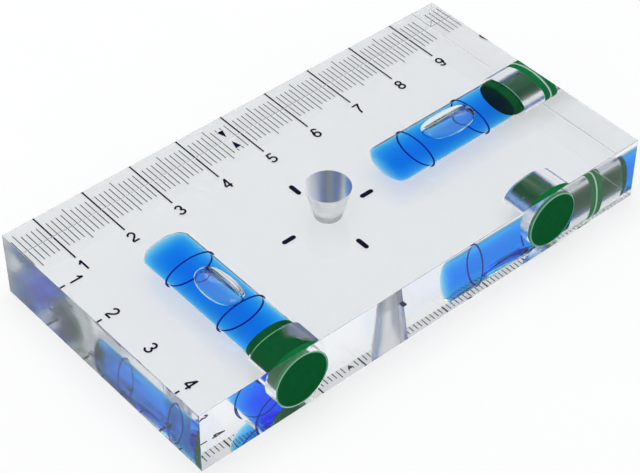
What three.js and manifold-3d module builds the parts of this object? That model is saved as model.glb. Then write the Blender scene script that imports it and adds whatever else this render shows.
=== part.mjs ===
// Magnetic T level: a clear acrylic block that lies flat on a surface. Two liquid vials are
// drilled into it at right angles, so that together they make a T round a tapered centre
// hole, and three capped magnets hold it to steel by two of its edge faces.
// Millimetres, +Z up, origin at the centre of the underside, +X along the block to the right.
import * as THREE from 'three';
import { mergeVertices } from 'three/addons/utils/BufferGeometryUtils.js';
import Module from 'manifold-3d';

// Block
const block_length = 95;
const block_width = 51.2;
const block_height = 12.7;
const edge_bevel = 0.1;

// Tapered centre hole
const hole_top_radius = 4;
const hole_bottom_radius = 2.4;

// Bores of the front face, counted from the short faces
const front_bore_inset = 20;

// Vial chamber, every depth counted from the face that the bore is drilled in
const chamber_radius = 4.7;
const chamber_depth = 35;
const chamber_end_bevel = 1.5;

// Index rings that lie in grooves of the chamber wall
const first_ring_depth = 14.8;
const ring_spacing = 13;
const ring_width = 0.25;
const ring_thickness = 0.25;

// Plug that seals the chamber's mouth behind the magnet
const plug_thickness = 1.6;
const plug_edge_bevel = 0.4;

// Counterbore for the capped magnet
const cap_bore_radius = 5.3;
const cap_bore_depth = 6.5;

// Green cap: a cup with a closed end that lies flush with the block's face
const cap_end_thickness = 1.5;
const cap_wall = 0.5;
const cap_edge_bevel = 0.15;

// Magnet inside the cap
const magnet_length = 4.5;
const magnet_edge_bevel = 0.2;

// Air bubble under the chamber's crown
const bubble_thickness = 3;
const bubble_sink = 0.65;
const bubble_drift = 1.15;
const front_bubble = { length: 10.3, width: 6.5 };
const side_bubble = { length: 11.2, width: 7.1 };

// Clearances
const fit_gap = 0.05;
const bubble_gap = 0.3;

// One overrun for every cut that leaves the block
const cut_overrun = 1;

// Facets
const round_segments = 40;
const bubble_segments = 32;
const bubble_rings = 16;

// Looks
const acrylic_look = { color: 0xe4ecef, roughness: 0.05, metalness: 0, transparent: true, opacity: 0.3 };
const liquid_look = { color: 0x1275e6, roughness: 0.05, metalness: 0, transparent: true, opacity: 0.7 };
const bubble_look = { color: 0xd8efff, roughness: 0.05, metalness: 0, transparent: true, opacity: 0.5 };
const index_look = { color: 0x0d1440, roughness: 0.5, metalness: 0 };
const green_look = { color: 0x14542c, roughness: 0.35, metalness: 0 };
const nickel_look = { color: 0xb9bcc0, roughness: 0.25, metalness: 1 };

const wasm = await Module();
wasm.setup();

// Turns a closed geometry into a solid that can be joined and cut
function solidOf(geometry) {
  const bare = geometry.clone();
  bare.deleteAttribute('normal');
  bare.deleteAttribute('uv');
  const merged = mergeVertices(bare);
  return new wasm.Manifold(new wasm.Mesh({
    numProp: 3,
    vertProperties: new Float32Array(merged.attributes.position.array),
    triVerts: new Uint32Array(merged.index.array),
  }));
}

// Turns a solid back into a geometry
function geometryOf(solid) {
  const mesh = solid.getMesh();
  const geometry = new THREE.BufferGeometry();
  geometry.setAttribute('position', new THREE.BufferAttribute(mesh.vertProperties, mesh.numProp));
  geometry.setIndex(new THREE.BufferAttribute(mesh.triVerts, 1));
  geometry.computeVertexNormals();
  return geometry;
}

function namedMesh(name, geometry, look) {
  const mesh = new THREE.Mesh(geometry, new THREE.MeshStandardMaterial(look));
  mesh.name = name;
  return mesh;
}

// A solid of revolution from [radius, depth] points, ordered from the deep end outwards.
// Local +Y is the depth, so the profile is listed with the depth falling.
function turned(profile) {
  const points = profile.map(([radius, depth]) => new THREE.Vector2(radius, -depth));
  const geometry = new THREE.LatheGeometry(points, round_segments);
  geometry.scale(1, -1, 1);
  geometry.index.array.reverse();
  return geometry;
}

// A bore's local frame: the origin on the face, +Y into the block, +Z up
function intoFront(x) {
  return new THREE.Matrix4().makeTranslation(x, -block_width / 2, block_height / 2);
}

function intoSide() {
  const turn = new THREE.Matrix4().makeRotationZ(Math.PI / 2);
  return new THREE.Matrix4().makeTranslation(block_length / 2, 0, block_height / 2).multiply(turn);
}

// The stretch of bore wall, groove included, that one index ring needs
function grooveProfile(depth) {
  const half = ring_width / 2 + fit_gap;
  const groove_radius = chamber_radius + ring_thickness + fit_gap;
  return [
    [chamber_radius, depth + half],
    [groove_radius, depth + half],
    [groove_radius, depth - half],
    [chamber_radius, depth - half],
  ];
}

const ring_depths = [first_ring_depth, first_ring_depth + ring_spacing];

function capBoreProfile() {
  return [
    [cap_bore_radius, cap_bore_depth],
    [cap_bore_radius, -cut_overrun],
    [0, -cut_overrun],
  ];
}

function vialBore() {
  return turned([
    [0, chamber_depth],
    [chamber_radius - chamber_end_bevel, chamber_depth],
    [chamber_radius, chamber_depth - chamber_end_bevel],
    ...ring_depths.toReversed().flatMap(grooveProfile),
    [chamber_radius, cap_bore_depth],
    ...capBoreProfile(),
  ]);
}

function magnetBore() {
  return turned([[0, cap_bore_depth], ...capBoreProfile()]);
}

// The taper runs on past both faces
function centreHole() {
  const taper = (hole_top_radius - hole_bottom_radius) / block_height;
  const top = hole_top_radius + taper * cut_overrun;
  const bottom = hole_bottom_radius - taper * cut_overrun;
  const geometry = new THREE.CylinderGeometry(top, bottom, block_height + 2 * cut_overrun, round_segments);
  geometry.rotateX(Math.PI / 2);
  geometry.translate(0, 0, block_height / 2);
  return geometry;
}

function blockBlank() {
  const x = block_length / 2 - edge_bevel;
  const y = block_width / 2 - edge_bevel;
  const outline = new THREE.Shape();
  outline.moveTo(-x, -y);
  outline.lineTo(x, -y);
  outline.lineTo(x, y);
  outline.lineTo(-x, y);
  outline.closePath();
  const geometry = new THREE.ExtrudeGeometry(outline, {
    depth: block_height - 2 * edge_bevel,
    bevelThickness: edge_bevel,
    bevelSize: edge_bevel,
    bevelSegments: 1,
  });
  geometry.translate(0, 0, edge_bevel);
  return geometry;
}

const vials = [
  { name: 'front_vial', place: intoFront(front_bore_inset - block_length / 2), bubble: front_bubble },
  { name: 'side_vial', place: intoSide(), bubble: side_bubble },
];
const lone_magnet = { name: 'front_magnet', place: intoFront(block_length / 2 - front_bore_inset) };

function block() {
  let solid = solidOf(blockBlank()).subtract(solidOf(centreHole()));
  for (const vial of vials) {
    solid = solid.subtract(solidOf(vialBore().applyMatrix4(vial.place)));
  }
  solid = solid.subtract(solidOf(magnetBore().applyMatrix4(lone_magnet.place)));
  return namedMesh('acrylic_block', geometryOf(solid), acrylic_look);
}

// An ellipsoid just under the chamber's crown, grown all round by the given gap
function bubbleBlank(bubble, grown) {
  const geometry = new THREE.SphereGeometry(1, bubble_segments, bubble_rings);
  geometry.scale(bubble.width / 2 + grown, bubble.length / 2 + grown, bubble_thickness / 2 + grown);
  geometry.translate(0, first_ring_depth + ring_spacing / 2 - bubble_drift, chamber_radius - bubble_sink);
  return solidOf(geometry);
}

const plug_inner_depth = cap_bore_depth + fit_gap + plug_thickness;

function liquidBlank() {
  const radius = chamber_radius - fit_gap;
  const end = chamber_depth - fit_gap;
  const mouth = plug_inner_depth + fit_gap;
  return solidOf(turned([
    [0, end],
    [radius - chamber_end_bevel, end],
    [radius, end - chamber_end_bevel],
    [radius, mouth],
    [0, mouth],
  ]));
}

function liquid(vial) {
  const solid = liquidBlank().subtract(bubbleBlank(vial.bubble, bubble_gap));
  return namedMesh(`${vial.name}_liquid`, geometryOf(solid), liquid_look);
}

function bubble(vial) {
  const solid = liquidBlank().intersect(bubbleBlank(vial.bubble, 0));
  return namedMesh(`${vial.name}_bubble`, geometryOf(solid), bubble_look);
}

function indexRing(name, depth) {
  const inner = chamber_radius;
  const outer = chamber_radius + ring_thickness;
  const profile = [
    [inner, depth + ring_width / 2],
    [outer, depth + ring_width / 2],
    [outer, depth - ring_width / 2],
    [inner, depth - ring_width / 2],
    [inner, depth + ring_width / 2],
  ];
  return namedMesh(name, turned(profile), index_look);
}

function plug(vial) {
  const radius = chamber_radius - fit_gap;
  const profile = [
    [0, plug_inner_depth],
    [radius - plug_edge_bevel, plug_inner_depth],
    [radius, plug_inner_depth - plug_edge_bevel],
    [radius, plug_inner_depth - plug_thickness],
    [0, plug_inner_depth - plug_thickness],
  ];
  return namedMesh(`${vial.name}_plug`, turned(profile), green_look);
}

const cap_radius = cap_bore_radius - fit_gap;
const cap_cavity_radius = cap_radius - cap_wall;
const cap_rim_depth = cap_bore_depth - fit_gap;

function cap(name) {
  const profile = [
    [0, cap_end_thickness],
    [cap_cavity_radius, cap_end_thickness],
    [cap_cavity_radius, cap_rim_depth],
    [cap_radius, cap_rim_depth],
    [cap_radius, cap_edge_bevel],
    [cap_radius - cap_edge_bevel, 0],
    [0, 0],
  ];
  return namedMesh(`${name}_cap`, turned(profile), green_look);
}

function magnet(name) {
  const radius = cap_cavity_radius - fit_gap;
  const near = cap_end_thickness + fit_gap;
  const far = near + magnet_length;
  const profile = [
    [0, far],
    [radius - magnet_edge_bevel, far],
    [radius, far - magnet_edge_bevel],
    [radius, near + magnet_edge_bevel],
    [radius - magnet_edge_bevel, near],
    [0, near],
  ];
  return namedMesh(`${name}_core`, turned(profile), nickel_look);
}

// Everything that one bore holds, in the bore's own frame
function boreContents(place, meshes) {
  const group = new THREE.Group();
  group.applyMatrix4(place);
  group.add(...meshes);
  return group;
}

const level = new THREE.Group();
level.add(block());
for (const vial of vials) {
  level.add(boreContents(vial.place, [
    liquid(vial),
    bubble(vial),
    ...ring_depths.map((depth, i) => indexRing(`${vial.name}_index_ring_${i + 1}`, depth)),
    plug(vial),
    cap(`${vial.name}_magnet`),
    magnet(`${vial.name}_magnet`),
  ]));
}
level.add(boreContents(lone_magnet.place, [
  cap(lone_magnet.name),
  magnet(lone_magnet.name),
]));

export default level;
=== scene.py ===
"""Magnetic T level: a clear acrylic block with two blue bubble vials, capped magnets and printed scales.

Every length is in millimetres and is turned to metres when a piece's mesh is made, but for the
places and sizes of the floor, camera and lamp, which are in metres. The frame is the CAD's: origin at
the centre of the underside, +X along the block, +Y towards the long scale edge, +Z up.
"""

import math

import bmesh
import bpy
from mathutils import Matrix, Vector
from mathutils.geometry import delaunay_2d_cdt


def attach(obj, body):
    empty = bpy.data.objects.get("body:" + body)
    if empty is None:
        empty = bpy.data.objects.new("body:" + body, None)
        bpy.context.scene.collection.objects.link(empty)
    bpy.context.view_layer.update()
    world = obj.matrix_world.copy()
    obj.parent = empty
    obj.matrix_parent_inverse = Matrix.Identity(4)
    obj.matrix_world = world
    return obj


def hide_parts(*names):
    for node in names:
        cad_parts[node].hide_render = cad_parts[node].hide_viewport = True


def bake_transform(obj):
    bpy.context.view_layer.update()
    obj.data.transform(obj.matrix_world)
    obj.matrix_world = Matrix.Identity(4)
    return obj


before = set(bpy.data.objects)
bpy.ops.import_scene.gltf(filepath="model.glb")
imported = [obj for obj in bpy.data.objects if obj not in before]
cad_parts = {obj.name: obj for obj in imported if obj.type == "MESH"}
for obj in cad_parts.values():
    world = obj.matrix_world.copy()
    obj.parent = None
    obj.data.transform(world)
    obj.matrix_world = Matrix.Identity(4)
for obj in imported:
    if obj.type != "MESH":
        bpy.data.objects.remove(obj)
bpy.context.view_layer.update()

MM = 0.001
DEG = math.pi / 180

# Block. The wall of the centre hole is torn from its lower mouth up to BURR
LENGTH = 95
WIDTH = 51.2
HEIGHT = 12.7
EDGE = 0.08
EDGE_STEPS = 2
HOLE_TOP = 4
HOLE_BOTTOM = 2.4
BURR = 3.2
FRONT_INSET = 20

# Bores, every depth counted from the face that the bore is drilled in
CHAMBER_RADIUS = 4.7
CHAMBER_END = 35
CHAMBER_FILLET = 1.5
FILLET_STEPS = 8
CAP_BORE_RADIUS = 5.3
CAP_BORE_END = 6.5
RING_DEPTHS = (14.8, 27.8)
RING_WIDTH = 0.25
RING_THICKNESS = 0.25
RING_EDGE = 0.05
GAP = 0.05

# Plug
PLUG_THICKNESS = 1.6
PLUG_EDGE = 0.4

# Cap: a cup whose closed end is a wider disc. Its disc's side is painted part way to a lighter green,
# painted light for the light that falls on it through the block; the share is set below
FLANGE = 1.5
FLANGE_GAP = 0.01
FLANGE_PAINTED_LIGHT = 0.25
SHOULDER = 0.05
CUP_RADIUS = 5.2
CUP_INSIDE = 4.75
RIM_INNER_EDGE = 0.1
RIM_OUTER_EDGE = 0.15
DISC_EDGE = 0.18
DISC_EDGE_BEND = 0.3
DISC_EDGE_FADE = 0.1

# Liquid and bubbles, each bubble with its length and width. CROWN_BLEND is how sharply a bubble
# bends where it meets the chamber's wall
LIQUID_GAP = 0.02
BUBBLE_DEPTH = 20.15
BUBBLE_THICKNESS = 3
BUBBLE_SINK = 0.65
BUBBLE_RINGS = 40
BUBBLE_SPOKES = 64
CROWN_BLEND = 14
FRONT_BUBBLE = (10.3, 6.5)
SIDE_BUBBLE = (11.2, 7.1)

# Print on the underside, a little off the block's own axes
INK_LOW = 0.02
INK_HIGH = 0.045
PRINT_INSET = 0.01
PRINT_X = -0.36
PRINT_Y = -0.48
SCALE_SHIFT = -0.61

# Lines of the long scale
LONG_LINES = 94
CM_LINE = 6.44
HALF_LINE = 4.52
MM_LINE = 3.44
CM_PEN = 0.3
MM_PEN = 0.15
LONG_NUMBERS = 9
LONG_NUMBER_ROW = 8.16

# Lines of the short scale, one every 5 mm. The one of 30 mm, sixth from the far edge, is short
SHORT_LINES = 9
SHORT_CM_LINE = 4.72
SHORT_HALF_LINE = 2.42
SHORT_CM_PEN = 0.35
SHORT_HALF_PEN = 0.3
WORN = 6
WORN_LINE = 3.8
SHORT_NUMBERS = 4
SHORT_NUMBER_ROW = 6.9

# Arrow in the middle of the long scale. Two lines start further in, to leave room for it
ARROW_TIP = 0.2
ARROW_FOOT = 2.15
ARROW_HALF = 0.62
ARROW_LINES = (47, 48)
ARROW_CLEAR = 2.35

# Dashes round the centre hole
DASH_NEAR = 7.65
DASH_FAR = 9.55
DASH_PEN = 0.9

# Corners of every turned piece, and degrees from corner to corner of a pen's turn and a dash's end
ROUND = 96
PEN_STEP = 30
DASH_STEP = 20

# How near two corners are when they are one, how near a corner is to the profile point that it was
# made from, how square to a way a face that faces it is, how much of a rounded edge belongs to the
# face beside it, and from how many degrees on an edge stays sharp
WELD = 0.0005
SAME_POINT = 0.001
FACING = 0.999
EDGE_SHARE = 0.9
SHARP_ANGLE = 35

# Colours, linear
GREEN = (0.003, 0.178, 0.046, 1)
GREEN_SHADE = 0.82
# Painted light: the lighter green painted on the caps' disc sides
PAINTED_LIT_GREEN = (0.004, 0.3, 0.075, 1)
# Painted highlight: the mint painted on the caps' rims and disc edges
HIGHLIGHT_MINT = (0.4, 0.82, 0.58, 1)
INK = (0.001, 0.001, 0.035, 1)
NAVY = (0.003, 0.025, 0.5, 1)
INK_GAIN = 2.2
INK_RISE = 0.001
DARK_NICKEL = (0.5, 0.5, 0.52, 1)
LIGHT_NICKEL = (0.62, 0.61, 0.6, 1)
CLEAR = (0.95, 0.97, 0.985, 1)
# Painted shade: a grey tint of the drilled bore walls that darkens the caps seen through them
PAINTED_SHADE_CLEAR = (0.72, 0.76, 0.78, 1)
FILM = (0.985, 0.985, 0.985, 1)
WHITE = (1, 1, 1, 1)
WHITE_DUST = (0.88, 0.9, 0.92, 1)
# Grey of the haze on the rough band at the hole's lower mouth, which renders there as a grey arc
BURR_GREY = (0.45, 0.47, 0.48, 1)
BLUE_PASSED = (0.0, 0.735, 1.0, 1)
BLUE_DENSITY = 530
DARK_FLOOR = (0.37, 0.375, 0.38, 1)
LIGHT_FLOOR = (0.39, 0.39, 0.39, 1)

# Refractive indices
ACRYLIC_IOR = 1.57
CEMENT_IOR = 1.47
LIQUID_IOR = 1.525

# Scale of a finish's noise along x, y and z: the smaller, the longer the marks that way
EVEN = (1, 1, 1)
LEVEL_MARKS = (1, 1, 20)
LONG_MARKS = (1, 30, 30)

# Finishes of the block's surfaces, in the order of its material slots after the first three
FINISHES = {
    "sawn": {"low": 0.03, "high": 0.07, "marks": LEVEL_MARKS, "size": 90, "haze": 0.05, "saw": 0.1},
    # The drilled walls carry painted shade through their grey tint
    "drilled": {"low": 0.22, "high": 0.28, "marks": EVEN, "size": 200, "base": PAINTED_SHADE_CLEAR},
    "reamed": {"low": 0.36, "high": 0.46, "marks": EVEN, "size": 400, "haze": 0.1},
    "rough": {"low": 0.5, "high": 0.6, "marks": EVEN, "size": 300, "haze": 0.34, "dust": BURR_GREY},
    "milled": {"low": 0.01, "high": 0.035, "marks": LEVEL_MARKS, "size": 90},
    "cut": {"low": 0.035, "high": 0.06, "marks": LEVEL_MARKS, "size": 90},
}
ACRYLIC, WET, CEMENT, SAWN, DRILLED, REAMED, ROUGH, MILLED, CUT = range(9)
SAW_DUST = 2.4

# Air under the cement of the front vial's cap: its finish, and its patches, each with its angle
# round the bore in degrees, its depth and its reach. A patch fades into cement between two
# multiples of its reach, where the distance has noise added
AIR_FINISH = {"low": 0.2, "high": 0.26, "marks": EVEN, "size": 200, "haze": 0.36}
AIR_PATCHES = ((50, 4.9, 3.4),)
PATCH_INSIDE = 1.25
PATCH_OUTSIDE = 1.65

# Camera, fitted to the photograph
CAMERA_LENS = 112.464
CAMERA_SENSOR = 36
CAMERA_NEAR = 0.01
CAMERA_PLACE = (-0.161276, -0.185217, 0.234381)
CAMERA_TURN = (46.4933, 0.0787, -40.8072)

# Floor: its place, and what is added to its light where the camera sees it and where a gloss mirrors it
FLOOR_HALF = 2
FLOOR_CELLS = 8
FLOOR_LEVEL = -0.0002
FLOOR_LIFT = 0.63
FLOOR_MIRRORED = 0.15

# World: its light, how bright it is through glass, and how bright a gloss shows it straight above.
# A gloss shows it white up to one elevation and at its darkest from another, in degrees
SKY_LIGHT = 0.56
SKY_THROUGH = 0.72
SKY_TOP = 0.06
SKY_WHITE_BELOW = 22
SKY_DARK_ABOVE = 38

# Lamp
LAMP_SIZE = 0.7
LAMP_WATTS = 3
LAMP_PLACE = (-0.02, 0.08, 0.8)

# Light that meets the polished faces from inside turns back many times before it leaves
BOUNCES = 48
TRANSPARENT_BOUNCES = 32


# Materials

def put(tree, kind, inputs=None, **settings):
    """A new node. An input is linked where a socket is given, and set where a value is."""
    made = tree.nodes.new(kind)
    for name, value in settings.items():
        setattr(made, name, value)
    for key, value in (inputs or {}).items():
        if isinstance(value, bpy.types.NodeSocket):
            tree.links.new(value, made.inputs[key])
        else:
            made.inputs[key].default_value = value
    return made


def new_material(name):
    made = bpy.data.materials.new(name)
    made.use_nodes = True
    made.node_tree.nodes.clear()
    return made, made.node_tree


def finish_material(tree, surface, volume=None):
    out = put(tree, "ShaderNodeOutputMaterial", {"Surface": surface})
    if volume is not None:
        tree.links.new(volume, out.inputs["Volume"])


def grain(tree, scale, detail=3, stretch=EVEN):
    """Noise in the row frame, 0 to 1, with scale in features per metre."""
    place = put(tree, "ShaderNodeTexCoord").outputs["Object"]
    if stretch != EVEN:
        place = put(tree, "ShaderNodeMapping", {"Vector": place, "Scale": stretch}).outputs[0]
    return put(tree, "ShaderNodeTexNoise", {"Vector": place, "Scale": scale, "Detail": detail}).outputs[0]


def ranged(tree, value, low, high, start=0.3, end=0.7):
    """low where the value is start, high where it is end."""
    made = put(tree, "ShaderNodeMapRange", {0: value, 1: start, 2: end, 3: low, 4: high})
    return made.outputs[0]


def mixed(tree, factor, a, b):
    made = put(tree, "ShaderNodeMix", {0: factor, 6: a, 7: b}, data_type="RGBA")
    return made.outputs[2]


def bump(tree, height, strength, distance):
    made = put(tree, "ShaderNodeBump", {"Strength": strength, "Distance": distance, "Height": height})
    return made.outputs[0]


def toned(colour, gain, rise=0):
    return [min(1, c * gain + rise) for c in colour[:3]] + [1]


def acrylic_surface(
    tree, low=0.0, high=0.025, marks=LONG_MARKS, size=60, haze=0, dust=WHITE_DUST, saw=0, base=CLEAR,
):
    """Clear plastic whose roughness runs from low to high along fine marks.

    haze is the share of dusty scratches that scatter light. With saw, roughness also rises by that
    much from the near long edge to the far one, and haze by SAW_DUST times as much.
    """
    rough = ranged(tree, grain(tree, size, 4, marks), low, high)
    if saw:
        place = put(tree, "ShaderNodeTexCoord").outputs["Object"]
        along = put(tree, "ShaderNodeSeparateXYZ", {0: place}).outputs[1]
        # Here the value is the saw's wear alone: roughness and haze rise towards the far long edge
        wear_and_painted_light = ranged(tree, along, 0, saw, -WIDTH / 2 * MM, WIDTH / 2 * MM)
        rough = put(tree, "ShaderNodeMath", {0: rough, 1: wear_and_painted_light}, operation="ADD").outputs[0]
        dusty = put(tree, "ShaderNodeMath", {0: wear_and_painted_light, 1: SAW_DUST, 2: haze}, operation="MULTIPLY_ADD")
        haze = dusty.outputs[0]
    clear = put(tree, "ShaderNodeBsdfPrincipled", {
        "Base Color": base,
        "Transmission Weight": 1,
        "IOR": ACRYLIC_IOR,
        "Roughness": rough,
    }).outputs[0]
    if not haze:
        return clear
    back = put(tree, "ShaderNodeBsdfDiffuse", {"Color": dust}).outputs[0]
    on = put(tree, "ShaderNodeBsdfTranslucent", {"Color": dust}).outputs[0]
    scratches = put(tree, "ShaderNodeMixShader", {0: 0.5, 1: back, 2: on}).outputs[0]
    return put(tree, "ShaderNodeMixShader", {0: haze, 1: clear, 2: scratches}).outputs[0]


def acrylic(name, **finish):
    made, tree = new_material(name)
    finish_material(tree, acrylic_surface(tree, **finish))
    return made


def wetted():
    """Bore wall that liquid or cement touches: no air, so nothing to see there."""
    made, tree = new_material("wetted_acrylic")
    film = mixed(tree, ranged(tree, grain(tree, 300), 0, 1), WHITE, FILM)
    finish_material(tree, put(tree, "ShaderNodeBsdfTransparent", {"Color": film}).outputs[0])
    return made


def cemented(patches):
    """Bore wall with cement all over but for patches of air, each round a point and with its reach."""
    made, tree = new_material("cemented_acrylic")
    place = put(tree, "ShaderNodeTexCoord").outputs["Object"]
    cement = 1.0
    for centre, reach in patches:
        point = [c * MM for c in centre]
        away = put(tree, "ShaderNodeVectorMath", {0: place, 1: point}, operation="DISTANCE").outputs["Value"]
        waves = grain(tree, 350)
        wavy = put(tree, "ShaderNodeMath", {0: waves, 1: reach * MM}, operation="MULTIPLY").outputs[0]
        edge = put(tree, "ShaderNodeMath", {0: away, 1: wavy}, operation="ADD").outputs[0]
        held = ranged(tree, edge, 0, 1, reach * MM * PATCH_INSIDE, reach * MM * PATCH_OUTSIDE)
        cement = put(tree, "ShaderNodeMath", {0: cement, 1: held}, operation="MULTIPLY").outputs[0]
    clear = put(tree, "ShaderNodeBsdfGlass", {"IOR": ACRYLIC_IOR / CEMENT_IOR, "Roughness": 0.02}).outputs[0]
    air = acrylic_surface(tree, **AIR_FINISH)
    shader = put(tree, "ShaderNodeMixShader", {0: cement, 1: air, 2: clear})
    finish_material(tree, shader.outputs[0])
    return made


def liquid_material():
    """Blue liquid. The wall of the bubble borders on air and the rest on acrylic."""
    made, tree = new_material("vial_liquid")
    swirl = ranged(tree, grain(tree, 150, 2), 0, 0.004)
    wall = put(tree, "ShaderNodeBsdfGlass", {"IOR": LIQUID_IOR / ACRYLIC_IOR, "Roughness": swirl})
    bubble = put(tree, "ShaderNodeBsdfGlass", {"IOR": LIQUID_IOR, "Roughness": swirl})
    on_bubble = put(tree, "ShaderNodeAttribute", attribute_name="on_bubble").outputs["Fac"]
    shader = put(tree, "ShaderNodeMixShader", {0: on_bubble, 1: wall.outputs[0], 2: bubble.outputs[0]})
    volume = put(tree, "ShaderNodeVolumeAbsorption", {"Color": BLUE_PASSED, "Density": BLUE_DENSITY})
    finish_material(tree, shader.outputs[0], volume.outputs[0])
    return made


def green_plastic():
    """Green plastic with painted light: it is painted lighter green, then mint as a painted highlight, where
    the painted light attribute rises.
    """
    made, tree = new_material("green_plastic")
    body = mixed(tree, ranged(tree, grain(tree, 700, 5), 0, 1), GREEN, toned(GREEN, GREEN_SHADE))
    # Painted light: the attribute paints the disc's side lighter green and the rims and edges mint
    wear_and_painted_light = put(tree, "ShaderNodeAttribute", attribute_name="wear_and_painted_light").outputs["Fac"]
    lit = mixed(tree, ranged(tree, wear_and_painted_light, 0, 1, 0, FLANGE_PAINTED_LIGHT), body, PAINTED_LIT_GREEN)
    colour = mixed(tree, ranged(tree, wear_and_painted_light, 0, 1, FLANGE_PAINTED_LIGHT, 1), lit, HIGHLIGHT_MINT)
    shader = put(tree, "ShaderNodeBsdfPrincipled", {
        "Base Color": colour,
        "Roughness": ranged(tree, grain(tree, 2500), 0.4, 0.55),
        "Specular IOR Level": 0.02,
        "Normal": bump(tree, grain(tree, 4000, 2), 0.15, 0.00004),
    })
    finish_material(tree, shader.outputs[0])
    return made


def ink(name, colour):
    made, tree = new_material(name)
    thin = ranged(tree, grain(tree, 3000, 4), 0, 1, 0.5, 0.8)
    shader = put(tree, "ShaderNodeBsdfPrincipled", {
        "Base Color": mixed(tree, thin, colour, toned(colour, INK_GAIN, INK_RISE)),
        "Roughness": ranged(tree, grain(tree, 5000), 0.4, 0.6),
        "Specular IOR Level": 0.1,
        "Normal": bump(tree, grain(tree, 9000, 2), 0.2, 0.00001),
    })
    finish_material(tree, shader.outputs[0])
    return made


def nickel():
    made, tree = new_material("nickel")
    shader = put(tree, "ShaderNodeBsdfPrincipled", {
        "Base Color": mixed(tree, grain(tree, 1200, 4), DARK_NICKEL, LIGHT_NICKEL),
        "Metallic": 1,
        "Roughness": ranged(tree, grain(tree, 3000), 0.18, 0.34),
        "Normal": bump(tree, grain(tree, 6000, 3), 0.15, 0.00002),
    })
    finish_material(tree, shader.outputs[0])
    return made


# Mesh helpers

def into_front(x):
    """A bore's frame: the origin on the face, +Y into the block, +Z up."""
    return Matrix.Translation((x, -WIDTH / 2, HEIGHT / 2))


def into_side():
    return Matrix.Translation((LENGTH / 2, 0, HEIGHT / 2)) @ Matrix.Rotation(90 * DEG, 4, "Z")


VIALS = (
    ("front_vial", into_front(FRONT_INSET - LENGTH / 2), "front_bubble", FRONT_BUBBLE),
    ("side_vial", into_side(), "side_bubble", SIDE_BUBBLE),
)
FRONT_PLACE = VIALS[0][1]
SIDE_PLACE = VIALS[1][1]
LONE_PLACE = into_front(LENGTH / 2 - FRONT_INSET)


def circle(place, radius, depth):
    angles = [2 * math.pi * i / ROUND for i in range(ROUND)]
    return [place @ Vector((radius * math.sin(a), depth, radius * math.cos(a))) for a in angles]


def upright_circle(radius, z):
    angles = [2 * math.pi * i / ROUND for i in range(ROUND)]
    return [Vector((radius * math.cos(a), radius * math.sin(a), z)) for a in angles]


def fillet(radius, depth, size):
    """Quarter round from the end wall, at depth, out to the bore wall."""
    made = []
    for i in range(FILLET_STEPS + 1):
        a = 90 * DEG * i / FILLET_STEPS
        made.append((radius - size + size * math.sin(a), depth - size + size * math.cos(a)))
    return made


def join_loops(bm, loops, slots=None):
    """Skins a row of loops of equal count. A loop of one point is a pole."""
    rows = [[bm.verts.new(p) for p in loop] for loop in loops]
    for k in range(len(rows) - 1):
        low = rows[k]
        high = rows[k + 1]
        count = max(len(low), len(high))
        for i in range(count):
            j = (i + 1) % count
            if len(low) == 1:
                corners = (low[0], high[i], high[j])
            elif len(high) == 1:
                corners = (low[i], high[0], low[j])
            else:
                corners = (low[i], high[i], high[j], low[j])
            face = bm.faces.new(corners)
            face.smooth = True
            face.material_index = slots[k] if slots else 0


def turn(bm, place, profile, slots=None):
    """Skins a profile of [radius, depth] points round a bore's axis."""
    loops = [circle(place, r, d) if r > 0 else [place @ Vector((0, d, 0))] for r, d in profile]
    join_loops(bm, loops, slots)


def fill_flat(bm, outline, holes, flatten, lift):
    """Fills a flat outline but for round holes. flatten gives a point's 2-D place, lift undoes it."""
    loops = [outline, *holes]
    points = [flatten(p) for loop in loops for p in loop]
    edges = []
    start = 0
    for loop in loops:
        edges += [(start + i, start + (i + 1) % len(loop)) for i in range(len(loop))]
        start += len(loop)
    rounds = []
    for hole in holes:
        flat = [flatten(p) for p in hole]
        centre = sum(flat, Vector((0, 0))) / len(flat)
        rounds.append((centre, (flat[0] - centre).length))
    found, _, faces, *_ = delaunay_2d_cdt(points, edges, [], 1, 1e-7)
    verts = [bm.verts.new(lift(p)) for p in found]
    for face in faces:
        middle = sum((found[i] for i in face), Vector((0, 0))) / len(face)
        if all((middle - centre).length > radius for centre, radius in rounds):
            bm.faces.new([verts[i] for i in face])


def close_up(bm):
    bmesh.ops.remove_doubles(bm, verts=bm.verts, dist=WELD)
    bmesh.ops.delete(bm, geom=[v for v in bm.verts if not v.link_faces], context="VERTS")
    bmesh.ops.recalc_face_normals(bm, faces=bm.faces)


def to_piece(bm, name, materials, body, replaced=()):
    """Turns a mesh in millimetres to a piece that rides on a body, if one is given."""
    bmesh.ops.scale(bm, vec=(MM, MM, MM), verts=bm.verts)
    # The bevel leaves a few faces in another order each run, so they are ranked by their corners
    bm.verts.index_update()
    ranked = sorted(bm.faces, key=lambda face: sorted(vert.index for vert in face.verts))
    ranks = {face: rank for rank, face in enumerate(ranked)}
    bm.faces.sort(key=ranks.get)
    mesh = bpy.data.meshes.new(name)
    bm.to_mesh(mesh)
    bm.free()
    for each in materials:
        mesh.materials.append(each)
    rounded = [face.use_smooth for face in mesh.polygons]
    mesh.set_sharp_from_angle(angle=SHARP_ANGLE * DEG)
    mesh.polygons.foreach_set("use_smooth", rounded)
    piece = bpy.data.objects.new(name, mesh)
    bpy.context.scene.collection.objects.link(piece)
    if body:
        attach(piece, body)
    if replaced:
        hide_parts(*replaced)
    return piece


# Camera, floor and light

def make_camera():
    data = bpy.data.cameras.new("camera")
    data.sensor_width = CAMERA_SENSOR
    data.lens = CAMERA_LENS
    data.clip_start = CAMERA_NEAR
    camera = bpy.data.objects.new("camera", data)
    camera.location = CAMERA_PLACE
    camera.rotation_euler = [angle * DEG for angle in CAMERA_TURN]
    bpy.context.scene.collection.objects.link(camera)
    bpy.context.scene.camera = camera


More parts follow.
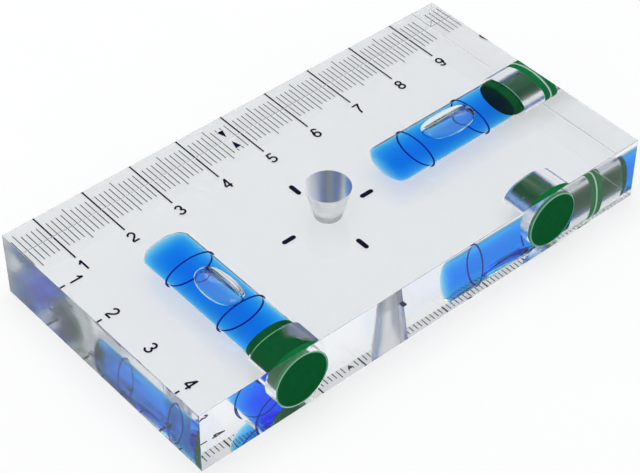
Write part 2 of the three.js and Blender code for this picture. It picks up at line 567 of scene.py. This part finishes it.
def seen_by(tree, start, weights):
    """A value for every kind of ray: start, or the weight of the last kind that the ray is."""
    path = put(tree, "ShaderNodeLightPath").outputs
    for kind, value in weights:
        start = put(tree, "ShaderNodeMix", {0: path[kind], 2: start, 3: value}).outputs[0]
    return start


def make_stage():
    bm = bmesh.new()
    bmesh.ops.create_grid(bm, x_segments=FLOOR_CELLS, y_segments=FLOOR_CELLS, size=FLOOR_HALF)
    for vert in bm.verts:
        vert.co.z = FLOOR_LEVEL
    mesh = bpy.data.meshes.new("floor")
    bm.to_mesh(mesh)
    bm.free()
    floor = bpy.data.objects.new("floor", mesh)
    bpy.context.scene.collection.objects.link(floor)
    made, tree = new_material("floor")
    pale = mixed(tree, grain(tree, 40), DARK_FLOOR, LIGHT_FLOOR)
    diffuse = put(tree, "ShaderNodeBsdfDiffuse", {"Color": pale}).outputs[0]
    lift = seen_by(tree, 0, (
        ("Is Glossy Ray", FLOOR_MIRRORED),
        ("Is Transmission Ray", FLOOR_LIFT),
        ("Is Camera Ray", FLOOR_LIFT),
    ))
    glow = put(tree, "ShaderNodeEmission", {"Color": WHITE, "Strength": lift}).outputs[0]
    finish_material(tree, put(tree, "ShaderNodeAddShader", {0: diffuse, 1: glow}).outputs[0])
    mesh.materials.append(made)


def make_world():
    world = bpy.data.worlds.new("studio")
    bpy.context.scene.world = world
    world.use_nodes = True
    tree = world.node_tree
    tree.nodes.clear()
    way = put(tree, "ShaderNodeTexCoord").outputs["Generated"]
    rise = put(tree, "ShaderNodeSeparateXYZ", {0: way}).outputs[2]
    start = math.sin(SKY_WHITE_BELOW * DEG)
    end = math.sin(SKY_DARK_ABOVE * DEG)
    backdrop = ranged(tree, rise, 1, SKY_TOP, start, end)
    strength = seen_by(tree, SKY_LIGHT, (
        ("Is Glossy Ray", backdrop),
        ("Is Transmission Ray", SKY_THROUGH),
        ("Is Camera Ray", 1),
    ))
    sky = put(tree, "ShaderNodeBackground", {"Color": WHITE, "Strength": strength})
    put(tree, "ShaderNodeOutputWorld", {"Surface": sky.outputs[0]})


def make_lamp():
    data = bpy.data.lights.new("key", "AREA")
    data.shape = "DISK"
    data.size = LAMP_SIZE
    data.energy = LAMP_WATTS
    lamp = bpy.data.objects.new("key", data)
    lamp.location = LAMP_PLACE
    lamp.rotation_euler = (-Vector(lamp.location)).to_track_quat("-Z", "Y").to_euler()
    bpy.context.scene.collection.objects.link(lamp)


# Block

def vial_bore(bm, place, cap_wall):
    """A vial's whole bore. cap_wall is the finish round the cap, CEMENT or DRILLED."""
    profile = [(0, CHAMBER_END), *fillet(CHAMBER_RADIUS, CHAMBER_END, CHAMBER_FILLET)]
    groove = CHAMBER_RADIUS + RING_THICKNESS + GAP
    half = RING_WIDTH / 2 + GAP
    for depth in reversed(RING_DEPTHS):
        profile += [
            (CHAMBER_RADIUS, depth + half), (groove, depth + half),
            (groove, depth - half), (CHAMBER_RADIUS, depth - half),
        ]
    profile.append((CHAMBER_RADIUS, CAP_BORE_END))
    slots = [WET] * (len(profile) - 1)
    profile += [(CAP_BORE_RADIUS, CAP_BORE_END), (CAP_BORE_RADIUS, FLANGE), (CAP_BORE_RADIUS, 0)]
    slots += [WET, CEMENT, CEMENT] if cap_wall == CEMENT else [DRILLED, DRILLED, WET]
    turn(bm, place, profile, slots)


def magnet_bore(bm, place):
    profile = [
        (0, CAP_BORE_END), (CAP_BORE_RADIUS, CAP_BORE_END), (CAP_BORE_RADIUS, FLANGE), (CAP_BORE_RADIUS, 0),
    ]
    turn(bm, place, profile, [DRILLED, DRILLED, WET])


def hole_wall(bm):
    wall = []
    for z in (0, BURR, HEIGHT / 2, HEIGHT):
        wall.append(upright_circle(HOLE_BOTTOM + (HOLE_TOP - HOLE_BOTTOM) * z / HEIGHT, z))
    join_loops(bm, wall, [ROUGH, REAMED, REAMED])


def open_face(bm, normal, holes):
    """Replaces the block's flat face towards normal with one that has round holes."""
    whole = [f for f in bm.faces if f.normal.dot(normal) > FACING and not f.smooth]
    face = max(whole, key=lambda f: f.calc_area())
    outline = [v.co.copy() for v in face.verts]
    axis = max(range(3), key=lambda i: abs(normal[i]))
    u, v = [i for i in range(3) if i != axis]
    level = outline[0][axis]
    bmesh.ops.delete(bm, geom=[face], context="FACES_ONLY")

    def lift(p):
        point = [0, 0, 0]
        point[u] = p[0]
        point[v] = p[1]
        point[axis] = level
        return Vector(point)

    fill_flat(bm, outline, holes, lambda p: Vector((p[u], p[v])), lift)


def mark_finishes(bm):
    """Gives the block's outer faces, roundings included, the slots of how they were cut."""
    x = LENGTH / 2
    y = WIDTH / 2
    for face in bm.faces:
        middle = face.calc_center_median()
        if middle.x < -x + EDGE * EDGE_SHARE:
            face.material_index = SAWN
        elif middle.x > x - EDGE * EDGE_SHARE:
            face.material_index = CUT
        elif abs(middle.y) > y - EDGE * EDGE_SHARE:
            face.material_index = MILLED


def make_block():
    bm = bmesh.new()
    bmesh.ops.create_cube(bm, size=1)
    bmesh.ops.scale(bm, vec=(LENGTH, WIDTH, HEIGHT), verts=bm.verts)
    bmesh.ops.translate(bm, vec=(0, 0, HEIGHT / 2), verts=bm.verts)
    bmesh.ops.bevel(bm, geom=bm.edges, offset=EDGE, segments=EDGE_STEPS, profile=0.5, affect="EDGES")
    for face in bm.faces:
        face.smooth = face.calc_area() < 10 * EDGE * LENGTH
    open_face(bm, Vector((0, 0, 1)), [upright_circle(HOLE_TOP, HEIGHT)])
    open_face(bm, Vector((0, 0, -1)), [upright_circle(HOLE_BOTTOM, 0)])
    front_mouths = [circle(place, CAP_BORE_RADIUS, 0) for place in (FRONT_PLACE, LONE_PLACE)]
    open_face(bm, Vector((0, -1, 0)), front_mouths)
    open_face(bm, Vector((1, 0, 0)), [circle(SIDE_PLACE, CAP_BORE_RADIUS, 0)])
    mark_finishes(bm)
    hole_wall(bm)
    vial_bore(bm, FRONT_PLACE, CEMENT)
    vial_bore(bm, SIDE_PLACE, DRILLED)
    magnet_bore(bm, LONE_PLACE)
    close_up(bm)
    patches = []
    for degrees, depth, reach in AIR_PATCHES:
        angle = degrees * DEG
        on_wall = Vector((CAP_BORE_RADIUS * math.sin(angle), depth, CAP_BORE_RADIUS * math.cos(angle)))
        patches.append((FRONT_PLACE @ on_wall, reach))
    looks = [acrylic("acrylic"), wetted(), cemented(patches)]
    for kind, finish in FINISHES.items():
        looks.append(acrylic(f"{kind}_acrylic", **finish))
    to_piece(bm, "clear_block", looks, "block", ["acrylic_block"])


# Vials and caps

def bubble_points(size):
    """A bubble under the crown in a vial's frame, as loops from one end to the other."""
    length, width = size
    half = (width / 2, length / 2, BUBBLE_THICKNESS / 2)
    centre = Vector((0, BUBBLE_DEPTH, CHAMBER_RADIUS - BUBBLE_SINK))
    wall = CHAMBER_RADIUS - GAP
    loops = []
    for i in range(BUBBLE_RINGS + 1):
        polar = math.pi * i / BUBBLE_RINGS
        row = []
        for j in range(BUBBLE_SPOKES if 0 < i < BUBBLE_RINGS else 1):
            turned = 2 * math.pi * j / BUBBLE_SPOKES
            ray = Vector((
                half[0] * math.sin(polar) * math.cos(turned),
                half[1] * math.cos(polar),
                half[2] * math.sin(polar) * math.sin(turned),
            ))
            reach = ray.length
            way = ray / reach
            a = way.x ** 2 + way.z ** 2
            if a > 1e-9:
                b = centre.x * way.x + centre.z * way.z
                c = centre.x ** 2 + centre.z ** 2 - wall ** 2
                crown = (-b + math.sqrt(b * b - a * c)) / a
                reach = (reach ** -CROWN_BLEND + crown ** -CROWN_BLEND) ** (-1 / CROWN_BLEND)
            row.append(centre + way * reach)
        loops.append(row)
    return loops


def make_liquid(name, place, size, look):
    """The liquid with the bubble's hollow in one mesh."""
    bm = bmesh.new()
    layer = bm.verts.layers.float.new("on_bubble")
    radius = CHAMBER_RADIUS - LIQUID_GAP
    far = CHAMBER_END - GAP
    mouth = CAP_BORE_END + GAP + PLUG_THICKNESS + GAP
    turn(bm, place, [(0, far), *fillet(radius, far, CHAMBER_FILLET), (radius, mouth), (0, mouth)])
    close_up(bm)
    shell = set(bm.verts)
    shell_faces = set(bm.faces)
    join_loops(bm, [[place @ p for p in loop] for loop in bubble_points(size)])
    cavity = [f for f in bm.faces if f not in shell_faces]
    bmesh.ops.recalc_face_normals(bm, faces=cavity)
    bmesh.ops.reverse_faces(bm, faces=cavity)
    for vert in bm.verts:
        vert[layer] = 0.0 if vert in shell else 1.0
    replaced = [f"{name}_liquid", f"{name}_bubble"]
    piece = to_piece(bm, f"{name}_liquid_and_bubble", [look], None, replaced)
    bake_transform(piece)


def make_lathe(name, place, profile, look, replaced, wear_and_painted_light=None):
    """A closed turned piece. The last argument gives painted light: how far each given profile point is
    painted towards lighter green and mint.
    """
    bm = bmesh.new()
    layer = bm.verts.layers.float.new("wear_and_painted_light")
    turn(bm, place, profile)
    pale = [(Vector(profile[i]), value) for i, value in (wear_and_painted_light or {}).items()]
    back = place.inverted()
    for vert in bm.verts:
        local = back @ vert.co
        spot = Vector((math.hypot(local.x, local.z), local.y))
        vert[layer] = max((value for p, value in pale if (spot - p).length < SAME_POINT), default=0.0)
    close_up(bm)
    to_piece(bm, name, [look], "block", replaced)


def make_plug(name, place, look):
    near = CAP_BORE_END + GAP
    far = near + PLUG_THICKNESS
    radius = CHAMBER_RADIUS - GAP
    profile = [(0, far), *fillet(radius, far, PLUG_EDGE), (radius, near), (0, near)]
    make_lathe(f"{name}_green_plug", place, profile, look, [f"{name}_plug"])


def make_cap(name, place, look):
    outer = CAP_BORE_RADIUS - FLANGE_GAP
    rim = CAP_BORE_END - GAP
    hollow = [
        (0, FLANGE),
        (CUP_INSIDE, FLANGE),
        (CUP_INSIDE, rim - RIM_INNER_EDGE),
    ]
    # Painted highlight: the cup's rim is painted mint
    highlight_rim = [
        (CUP_INSIDE + RIM_INNER_EDGE, rim),
        (CUP_RADIUS - RIM_OUTER_EDGE, rim),
        (CUP_RADIUS, rim - RIM_OUTER_EDGE),
    ]
    wall = [
        (CUP_RADIUS, rim - 2 * RIM_OUTER_EDGE),
        (CUP_RADIUS, FLANGE + SHOULDER),
    ]
    # Painted light: the disc's side is painted part way to a lighter green, for light that falls on it
    # through the block
    painted_lit_side = [
        (outer, FLANGE),
        (outer, DISC_EDGE + DISC_EDGE_FADE),
    ]
    # Painted highlight: the disc's rounded edge is painted mint
    highlight_edge = [
        (outer, DISC_EDGE),
        (outer - DISC_EDGE * DISC_EDGE_BEND, DISC_EDGE * DISC_EDGE_BEND),
        (outer - DISC_EDGE, 0),
    ]
    disc = [
        (outer - DISC_EDGE * 2, 0),
        (0, 0),
    ]
    profile = []
    wear_and_painted_light = {}
    parts = ((hollow, 0), (highlight_rim, 1), (wall, 0), (painted_lit_side, FLANGE_PAINTED_LIGHT), (highlight_edge, 1), (disc, 0))
    for part, value in parts:
        for point in part:
            if value:
                wear_and_painted_light[len(profile)] = value
            profile.append(point)
    make_lathe(f"{name}_green_cap", place, profile, look, [f"{name}_cap"], wear_and_painted_light)


def make_rings(name, place, look):
    inner = CHAMBER_RADIUS
    outer = CHAMBER_RADIUS + RING_THICKNESS
    for i, depth in enumerate(RING_DEPTHS):
        low = depth - RING_WIDTH / 2
        high = depth + RING_WIDTH / 2
        profile = [
            (inner, high), (outer - RING_EDGE, high), (outer, high - RING_EDGE),
            (outer, low + RING_EDGE), (outer - RING_EDGE, low), (inner, low), (inner, high),
        ]
        make_lathe(f"{name}_ring_{i + 1}", place, profile, look, [f"{name}_index_ring_{i + 1}"])


# Print

def plates(bm, polygons):
    """One thin closed plate for every flat outline, overlaps joined."""
    points = []
    faces = []
    for polygon in polygons:
        faces.append(list(range(len(points), len(points) + len(polygon))))
        points += polygon
    found, _, cells, _, _, owners = delaunay_2d_cdt(points, [], faces, 0, 1e-6)
    cells = [cell for cell, owner in zip(cells, owners) if owner]
    low = [bm.verts.new((p[0], p[1], INK_LOW)) for p in found]
    high = [bm.verts.new((p[0], p[1], INK_HIGH)) for p in found]
    used = {}
    for cell in cells:
        bm.faces.new([high[i] for i in cell])
        bm.faces.new([low[i] for i in reversed(cell)])
        for i, j in zip(cell, [*cell[1:], cell[0]]):
            used[(i, j)] = True
    for i, j in used:
        if (j, i) not in used:
            bm.faces.new((high[j], high[i], low[i], low[j]))


def strip(a, b, width):
    a = Vector(a)
    b = Vector(b)
    side = (b - a).normalized().orthogonal() * (width / 2)
    return [a - side, b - side, b + side, a + side]


def spot(centre, radius, step):
    """A round outline with a corner every step degrees."""
    corners = [Vector((math.cos(k * DEG), math.sin(k * DEG))) for k in range(0, 360, step)]
    return [Vector(centre) + corner * radius for corner in corners]


def stroke(points, width):
    """A pen line through points as overlapping convex pieces."""
    made = [strip(a, b, width) for a, b in zip(points, points[1:])]
    for p in points[1:-1]:
        made.append(spot(p, width / 2, PEN_STEP))
    return made


def arc(cx, cy, rx, ry, start, end, steps=14):
    angles = [(start + (end - start) * i / steps) * DEG for i in range(steps + 1)]
    return [(cx + rx * math.cos(a), cy + ry * math.sin(a)) for a in angles]


# Digits as pen lines in a cell of height 1 about DIGIT_MIDDLE
PEN = 0.148
DIGIT_HEIGHT = 2.5
DIGIT_MIDDLE = (0.3, 0.5)
NINE = [
    arc(0.3, 0.69, 0.222, 0.235, 0, 360, 24),
    [*arc(0.29, 0.36, 0.232, 0.28, -160, -60, 8), *arc(0.22, 0.6, 0.302, 0.33, -48, 16, 6)],
]
DIGITS = {
    1: [
        [(0.1, 0.7), (0.24, 0.79), (0.34, 0.98)],
        [(0.36, 0.0), (0.36, 1.0)],
    ],
    2: [
        [*arc(0.3, 0.69, 0.225, 0.235, 175, -38, 12), (0.36, 0.4), (0.15, 0.22), (0.09, 0.077)],
        [(0.06, 0.077), (0.56, 0.077)],
    ],
    3: [
        arc(0.28, 0.715, 0.2, 0.207, 168, -90, 12),
        arc(0.28, 0.29, 0.24, 0.213, 90, -168, 14),
    ],
    4: [
        [(0.42, 0.0), (0.42, 1.0)],
        [(0.4, 0.93), (0.06, 0.31)],
        [(0.02, 0.27), (0.58, 0.27)],
    ],
    5: [
        [(0.54, 0.923), (0.17, 0.923), (0.1, 0.5)],
        arc(0.28, 0.32, 0.25, 0.245, 138, -155, 16),
    ],
    6: [[(2 * DIGIT_MIDDLE[0] - x, 1 - y) for x, y in line] for line in NINE],
    7: [[(0.04, 0.923), (0.54, 0.923), (0.4, 0.68), (0.28, 0.38), (0.22, 0.0)]],
    8: [
        arc(0.3, 0.72, 0.195, 0.2, 0, 360, 24),
        arc(0.3, 0.29, 0.232, 0.215, 0, 360, 24),
    ],
    9: NINE,
}


def digit(number, centre, up):
    """Outlines of one digit about its centre. up is the way its top points."""
    up = Vector(up)
    right = Vector((up.y, -up.x))
    mid_x, mid_y = DIGIT_MIDDLE
    made = []
    for line in DIGITS[number]:
        for polygon in stroke(line, PEN):
            made.append([
                Vector(centre) + (right * (p.x - mid_x) + up * (p.y - mid_y)) * DIGIT_HEIGHT
                for p in polygon
            ])
    return made


def right_way(polygon):
    area = sum(a.x * b.y - b.x * a.y for a, b in zip(polygon, [*polygon[1:], polygon[0]]))
    return polygon if area > 0 else list(reversed(polygon))


def make_print(name, polygons, look):
    bm = bmesh.new()
    plates(bm, [right_way([Vector(p) for p in polygon]) for polygon in polygons])
    close_up(bm)
    bmesh.ops.dissolve_limit(bm, angle_limit=DEG, verts=bm.verts, edges=bm.edges)
    to_piece(bm, name, [look], "block")


def long_scale(look):
    far = WIDTH / 2 - EDGE - PRINT_INSET
    lines = []
    for k in range(1, LONG_LINES + 1):
        x = -LENGTH / 2 + SCALE_SHIFT + k
        if k % 10 == 0:
            reach, pen = CM_LINE, CM_PEN
        elif k % 5 == 0:
            reach, pen = HALF_LINE, MM_PEN
        else:
            reach, pen = MM_LINE, MM_PEN
        begin = WIDTH / 2 + PRINT_Y - ARROW_CLEAR if k in ARROW_LINES else far
        lines.append(strip((x, begin), (x, WIDTH / 2 - reach), pen))
    make_print("long_scale_lines", lines, look)


def short_scale(look):
    left = -LENGTH / 2 + EDGE + PRINT_INSET
    lines = []
    for k in range(1, SHORT_LINES + 1):
        y = WIDTH / 2 + PRINT_Y - 5 * k
        if k == WORN:
            reach, pen = WORN_LINE, SHORT_CM_PEN
        elif k % 2 == 0:
            reach, pen = SHORT_CM_LINE, SHORT_CM_PEN
        else:
            reach, pen = SHORT_HALF_LINE, SHORT_HALF_PEN
        lines.append(strip((left, y), (-LENGTH / 2 + PRINT_X + reach, y), pen))
    make_print("short_scale_lines", lines, look)


def scale_numbers(look):
    numbers = []
    y = WIDTH / 2 + PRINT_Y - LONG_NUMBER_ROW
    for k in range(1, LONG_NUMBERS + 1):
        numbers += digit(k, (-LENGTH / 2 + SCALE_SHIFT + 10 * k, y), (0, 1))
    make_print("long_scale_numbers", numbers, look)
    numbers = []
    x = -LENGTH / 2 + PRINT_X + SHORT_NUMBER_ROW
    for k in range(1, SHORT_NUMBERS + 1):
        numbers += digit(k, (x, WIDTH / 2 + PRINT_Y - 10 * k), (1, 0))
    make_print("short_scale_numbers", numbers, look)


def middle_arrow(look):
    tip = WIDTH / 2 + PRINT_Y - ARROW_TIP
    foot = WIDTH / 2 + PRINT_Y - ARROW_FOOT
    arrow = [(SCALE_SHIFT, tip), (SCALE_SHIFT - ARROW_HALF, foot), (SCALE_SHIFT + ARROW_HALF, foot)]
    make_print("middle_arrow", [arrow], look)


def centre_dashes(look):
    centre = Vector((PRINT_X, PRINT_Y))
    dashes = []
    for way in ((1, 0), (0, 1), (-1, 0), (0, -1)):
        near = centre + Vector(way) * DASH_NEAR
        away = centre + Vector(way) * DASH_FAR
        dashes.append(strip(near, away, DASH_PEN))
        for end in (near, away):
            dashes.append(spot(end, DASH_PEN / 2, DASH_STEP))
    make_print("centre_dashes", dashes, look)


make_camera()
make_stage()
make_world()
make_lamp()
make_block()
blue = liquid_material()
green = green_plastic()
navy = ink("ring_paint", NAVY)
for vial_name, vial_place, vial_body, vial_size in VIALS:
    make_liquid(vial_name, vial_place, vial_size, blue)
    make_plug(vial_name, vial_place, green)
    make_cap(f"{vial_name}_magnet", vial_place, green)
    make_rings(vial_name, vial_place, navy)
make_cap("front_magnet", LONE_PLACE, green)
black = ink("scale_ink", INK)
long_scale(black)
short_scale(black)
scale_numbers(black)
middle_arrow(black)
centre_dashes(black)
metal = nickel()
for core in ("front_vial_magnet_core", "side_vial_magnet_core", "front_magnet_core"):
    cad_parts[core].data.materials.clear()
    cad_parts[core].data.materials.append(metal)

cycles = bpy.context.scene.cycles
cycles.max_bounces = BOUNCES
cycles.glossy_bounces = BOUNCES
cycles.transmission_bounces = BOUNCES
cycles.transparent_max_bounces = TRANSPARENT_BOUNCES
bpy.context.scene.view_settings.view_transform = "Standard"
